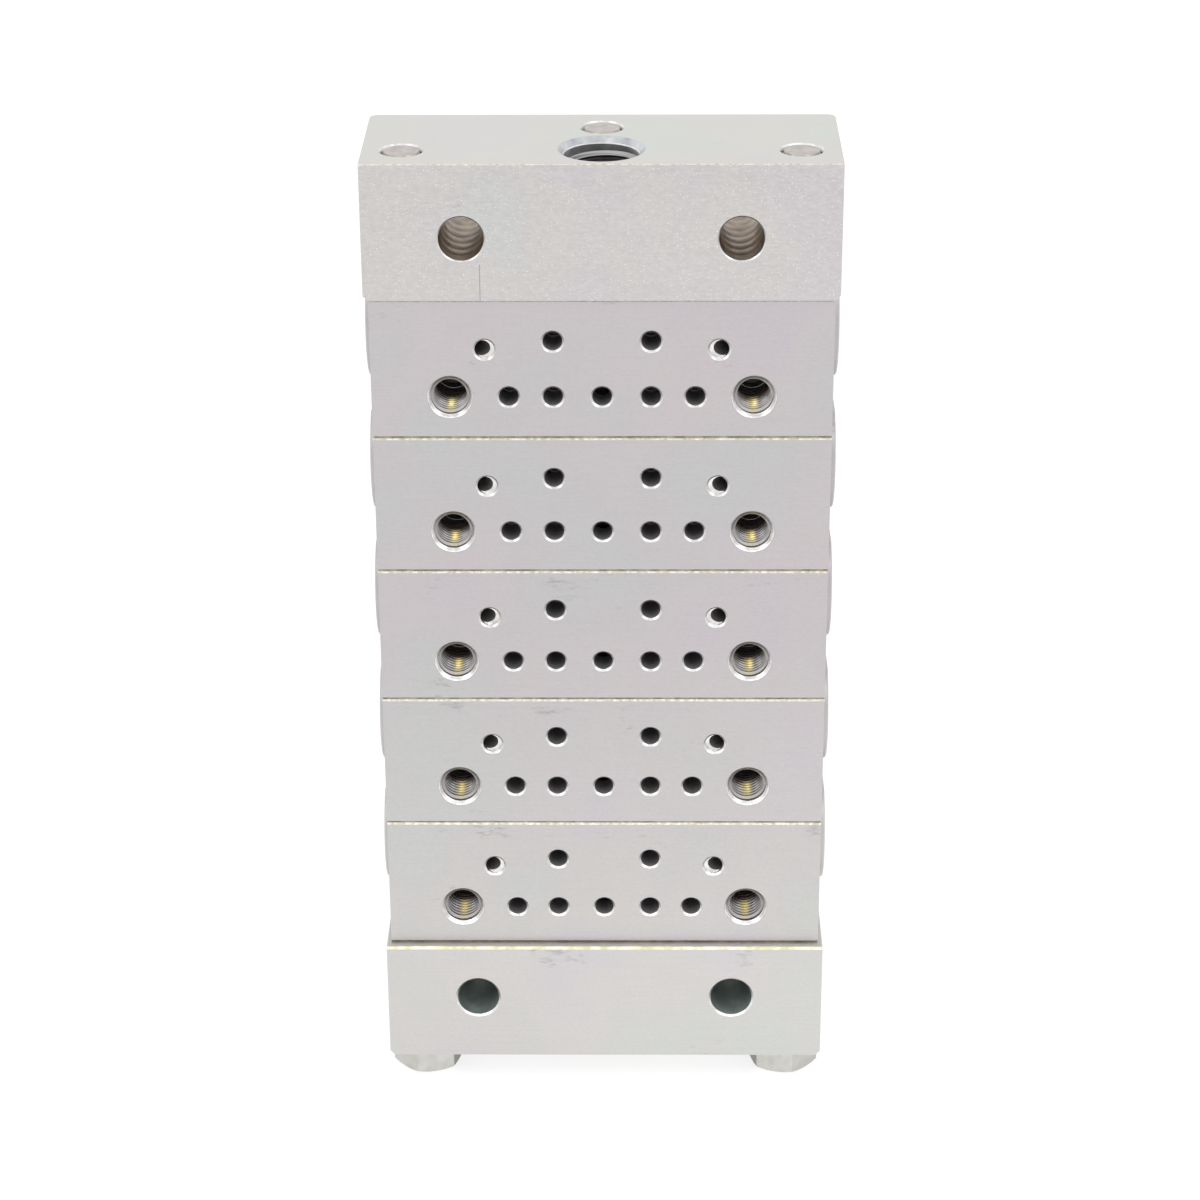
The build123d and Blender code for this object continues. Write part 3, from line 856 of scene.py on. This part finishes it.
class MANIFOLD_OT_end_block(bpy.types.Operator):
    """Build the end block with its mounting holes"""
    bl_idname = "manifold.end_block"
    bl_label = "End Block"

    def execute(self, context):
        sizes = context.scene.manifold_sizes
        steps = sizes.circle_steps

        def front_top(a, b, reach):
            """True for the edge between the front and the top face."""
            return min(a.z, b.z) > END_HIGH.z - reach and max(a.y, b.y) < END_LOW.y + reach

        bm = wide_blank(END_LOW, END_HIGH)
        bevel_where(bm, lambda a, b: front_top(a, b, NEAR), 0.45 * MM, 1, EDGE)
        bevel_where(bm, lambda a, b: edge_is_long(a, b) and not front_top(a, b, MM), sizes.edge_round, 2)
        shade_groove(bm, END_HIGH.z - 0.07 * MM)
        block = mesh_object("end_block_body", bm, END_FINISHES)
        cut = bmesh.new()
        add_mounting_holes(cut, END_LOW.y, END_MOUNT_Z, 27.99, 0.32, BORE, steps)
        add_rod_holes(cut, END_HIGH.z, ((-1, ROD_HOLE, BORE), (24, ROD_HOLE, BORE)), steps)
        drill(block, cut, END_FINISHES)
        settle(block, "end_block", slot="zinc_plated_steel")
        return {"FINISHED"}


class MANIFOLD_OT_tie_rods(bpy.types.Operator):
    """Turn the three tie rods with their broken ends"""
    bl_idname = "manifold.tie_rods"
    bl_label = "Tie Rods"

    def execute(self, context):
        steps = context.scene.manifold_sizes.circle_steps
        plain, dull = 0, 1
        for side, place in ROD_PLACES.items():
            low, high = (c.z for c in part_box(f"tie_rod_{side}"))
            length = (high - low) / MM
            bm = bmesh.new()
            # painted shade: the lower part of the rod end's chamfer takes the darker joint groove finish
            add_turned(bm, (place.x, place.y, high), (0, 0, -1), (
                (0.05, 0, plain), (0, 0.6, plain), (0, 2.7, plain), (0.08, 2.82, dull), (0.5, 3.02, plain),
                (length - 0.5, 3.02, plain), (length, 2.5, plain)), steps)
            rod = mesh_object(f"tie_rod_{side}_turned", bm, ("Zinc plated rod", "Joint groove"))
            smooth(rod)
            settle(rod, f"tie_rod_{side}", slot="rod_steel")
        return {"FINISHED"}


class MANIFOLD_OT_rod_nuts(bpy.types.Operator):
    """Put a hex nut on the lower end of each tie rod"""
    bl_idname = "manifold.rod_nuts"
    bl_label = "Tie Rod Nuts"

    def execute(self, context):
        for side, turn in (("left", 15.0), ("right", -15.0), ("rear", 0.0)):
            place = ROD_PLACES[side]
            nut = grow(f"hex_nut_{side}", "Hex nut", nut_tree, [(place.x, place.y, NUT_TOP / 2)],
                       {"Height": NUT_TOP, "Finish": finish("Zinc plated nut")},
                       ("turn", "FLOAT", [radians(turn)]))
            tidy(nut)
            settle(nut, f"tie_rod_nut_{side}", slot="nut_steel")
        return {"FINISHED"}


class MANIFOLD_OT_threads(bpy.types.Operator):
    """Wind the threads into the valve screw holes, the ports and round the rod ends"""
    bl_idname = "manifold.threads"
    bl_label = "Threads"

    def execute(self, context):
        sizes = context.scene.manifold_sizes
        valve, outlet = [], []
        for number in range(1, SECTIONS + 1):
            base = INLET_LOW.z - number * SECTION_STEP
            for side in (-1, 1):
                valve.append(((side * SCREW_X, FRONT + 0.9 * MM, base + ROW_MARGIN), (0, 1, 0)))
                outlet.append(((side * (SECTION_HALF + 0.4 * MM), OUTLET_Y,
                                base + SECTION_STEP - OUTLET_DROP), (-side, 0, 0)))
        inlet = [((0, FEED_Y, TOP - 1.7 * MM), (0, 0, -1))]
        mounts = [((side * MOUNT_X, INLET_LOW.y + 1.6 * MM, INLET_MOUNT_Z), (0, 1, 0)) for side in (-1, 1)]
        ends = [((place.x, place.y, TOP - 0.75 * MM), (0, 0, -1)) for place in ROD_PLACES.values()]
        screw, port, side_port = sizes.screw_pitch, sizes.inlet_pitch, sizes.outlet_pitch
        # name, mouths, radii and height of the ridge in millimetres, pitch and width of the ridge, turns,
        # steps round, finish and slot; the mounting holes have only shallow drilling ribs
        for row in (
                ("valve_screw_threads", valve, (3.37, 3.37), 0.62, screw, screw * 0.95, 9.0, 48,
                 "Oiled thread", "zinc_plated_steel"),
                ("outlet_threads", outlet, (4.72, 4.5), 0.38, side_port, side_port * 0.9, 6.0, 48,
                 "Plated thread", "zinc_plated_steel"),
                ("inlet_port_threads", inlet, (6.1, 5.9), 0.7, port, port * 0.95, 7.0, 72,
                 "Plated thread", "zinc_plated_steel"),
                ("mounting_hole_ribs", mounts, (3.65, 3.65), 0.13, 3 * MM, 2.7 * MM, 8.0, 40,
                 "Amber bore", "zinc_plated_steel"),
                ("tie_rod_threads", ends, (3.0, 3.0), 0.15, 1.27 * MM, 1.1 * MM, 3.0, 48,
                 "Zinc plated rod", "rod_steel")):
            wind_thread(*row)
        return {"FINISHED"}


class MANIFOLD_OT_seals_and_checks(bpy.types.Operator):
    """Finish the rubber joint rings and build the check valve cartridges in the outlets"""
    bl_idname = "manifold.seals_and_checks"
    bl_label = "Seals and Check Valves"

    def execute(self, context):
        for number in range(1, SECTIONS + 2):
            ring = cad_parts[f"joint_seal_{number}"]
            ring.data.materials.clear()
            ring.data.materials.append(finish("Moulded nitrile rubber"))
        for number in range(1, SECTIONS + 1):
            low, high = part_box(f"outlet_checks_{number}")
            bm = bmesh.new()
            for side in (-1, 1):
                mouth = (side * high.x, OUTLET_Y, (low.z + high.z) / 2)
                # a stepped mouth, and the ball that sits in it
                add_turned(bm, mouth, (-side, 0, 0), (
                    (2.2, 0, 0), (1.6, 1.3, 0), (0.5, 1.7, 0), (0, 2.2, 0), (0, 3.6, 0), (0.3, 3.9, 0),
                    (3.5, 3.9, 0)), 48)
                ball = bmesh.ops.create_uvsphere(bm, u_segments=24, v_segments=14, radius=1.3 * MM)["verts"]
                bmesh.ops.translate(bm, verts=ball, vec=Vector(mouth) + Vector((-side * 1.5 * MM, 0, 0)))
            piece = mesh_object(f"check_cartridges_{number}", bm, ("Turned cartridge steel",))
            smooth(piece)
            settle(piece, f"outlet_checks_{number}", slot="check_steel")
        return {"FINISHED"}


class MANIFOLD_OT_stage(bpy.types.Operator):
    """Lay the white floor, light the block softly and set the camera"""
    bl_idname = "manifold.stage"
    bl_label = "Stage"

    def execute(self, context):
        scene = context.scene
        white = (1, 1, 1, 1)
        half = 2.5
        mesh = bpy.data.meshes.new("floor")
        mesh.from_pydata([(-half, -half, 0), (half, -half, 0), (half, half, 0), (-half, half, 0)], [],
                         [(0, 1, 2, 3)])
        # paper that turns white where it is seen and stays grey as a light
        material, add = new_material("White paper sweep")
        lift = add("ShaderNodeMath", {0: seen_directly(add), 1: 0.785}, operation="MULTIPLY")
        paper = add("ShaderNodeBsdfDiffuse", {"Color": linear("9f9f9f")})
        glow = add("ShaderNodeEmission", {"Color": white, "Strength": lift})
        both = add("ShaderNodeAddShader", {0: paper, 1: glow})
        add("ShaderNodeOutputMaterial", {"Surface": both})
        mesh.materials.append(material)
        link_object("floor", mesh)

        scene.world = bpy.data.worlds.new("Soft white room")
        scene.world.use_nodes = True
        scene.world.node_tree.nodes.clear()
        add = partial(add_node, scene.world.node_tree)
        strength = add("ShaderNodeMapRange", {"Value": seen_directly(add), "To Min": 0.62, "To Max": 1.0})
        room = add("ShaderNodeBackground", {"Color": white, "Strength": strength})
        add("ShaderNodeOutputWorld", {"Surface": room})

        aim = Vector((0, 0, 85 * MM))           # mid height of the stack
        for name, place, size, watts in (
                ("overhead softbox", (0.0, -0.20, 1.10), 1.0, 3.4),
                ("front softbox", (0.02, -0.73, 0.88), 0.26, 0.5),
                ("left softbox", (-0.75, -0.60, 0.80), 0.7, 1.6),
                ("right softbox", (0.75, -0.60, 0.80), 0.7, 1.6)):
            data = bpy.data.lights.new(name, "AREA")
            data.shape, data.size, data.energy = "SQUARE", size, watts
            lamp = link_object(name, data)
            lamp.location = place
            lamp.visible_glossy = not name.startswith("overhead")   # else the top face glares from above
            lamp.rotation_euler = (aim - Vector(place)).to_track_quat("-Z", "Y").to_euler()

        # half a metre in front of the stack, looking 25 degrees down, nearly straight and level
        data = bpy.data.cameras.new("camera")
        data.lens, data.sensor_width, data.sensor_fit = 96.56, 36.0, "HORIZONTAL"
        place = (5.202 * MM, -497.35 * MM, 321.22 * MM)
        pitch, yaw, roll = radians(25.099), radians(-0.673), radians(-0.287)
        right = Vector((cos(yaw), -sin(yaw), 0))
        up = Vector((sin(yaw) * sin(pitch), cos(yaw) * sin(pitch), cos(pitch)))
        ahead = Vector((sin(yaw) * cos(pitch), cos(yaw) * cos(pitch), -sin(pitch)))
        axes = (right * cos(roll) + up * sin(roll), up * cos(roll) - right * sin(roll), -ahead)
        scene.camera = link_object("camera", data)
        scene.camera.matrix_world = Matrix.Translation(place) @ Matrix(axes).transposed().to_4x4()
        scene.view_settings.view_transform = "Standard"
        return {"FINISHED"}


STEPS = (
    MANIFOLD_OT_inlet_block, MANIFOLD_OT_section_blocks, MANIFOLD_OT_end_block, MANIFOLD_OT_tie_rods,
    MANIFOLD_OT_rod_nuts, MANIFOLD_OT_threads, MANIFOLD_OT_seals_and_checks, MANIFOLD_OT_stage,
)


class MANIFOLD_PT_panel(bpy.types.Panel):
    """Sidebar panel with the sizes, colours and building steps"""
    bl_label = "Manifold Block"
    bl_idname = "MANIFOLD_PT_panel"
    bl_space_type = "VIEW_3D"
    bl_region_type = "UI"
    bl_category = "Manifold"

    def draw(self, context):
        column = self.layout.column()
        for group in (context.scene.manifold_sizes, context.scene.manifold_colours):
            for key in group.bl_rna.properties.keys():
                if key not in ("rna_type", "name"):
                    column.prop(group, key)
        for step in STEPS:
            column.operator(step.bl_idname)


CLASSES = (ManifoldSizes, ManifoldColours) + STEPS + (MANIFOLD_PT_panel,)


def register():
    for each in CLASSES:
        bpy.utils.register_class(each)
    bpy.types.Scene.manifold_sizes = PointerProperty(type=ManifoldSizes)
    bpy.types.Scene.manifold_colours = PointerProperty(type=ManifoldColours)


def unregister():
    del bpy.types.Scene.manifold_colours
    del bpy.types.Scene.manifold_sizes
    for each in reversed(CLASSES):
        bpy.utils.unregister_class(each)


def main():
    register()
    for step in STEPS:
        group, name = step.bl_idname.split(".")
        getattr(getattr(bpy.ops, group), name)()


if __name__ == "__main__":
    main()
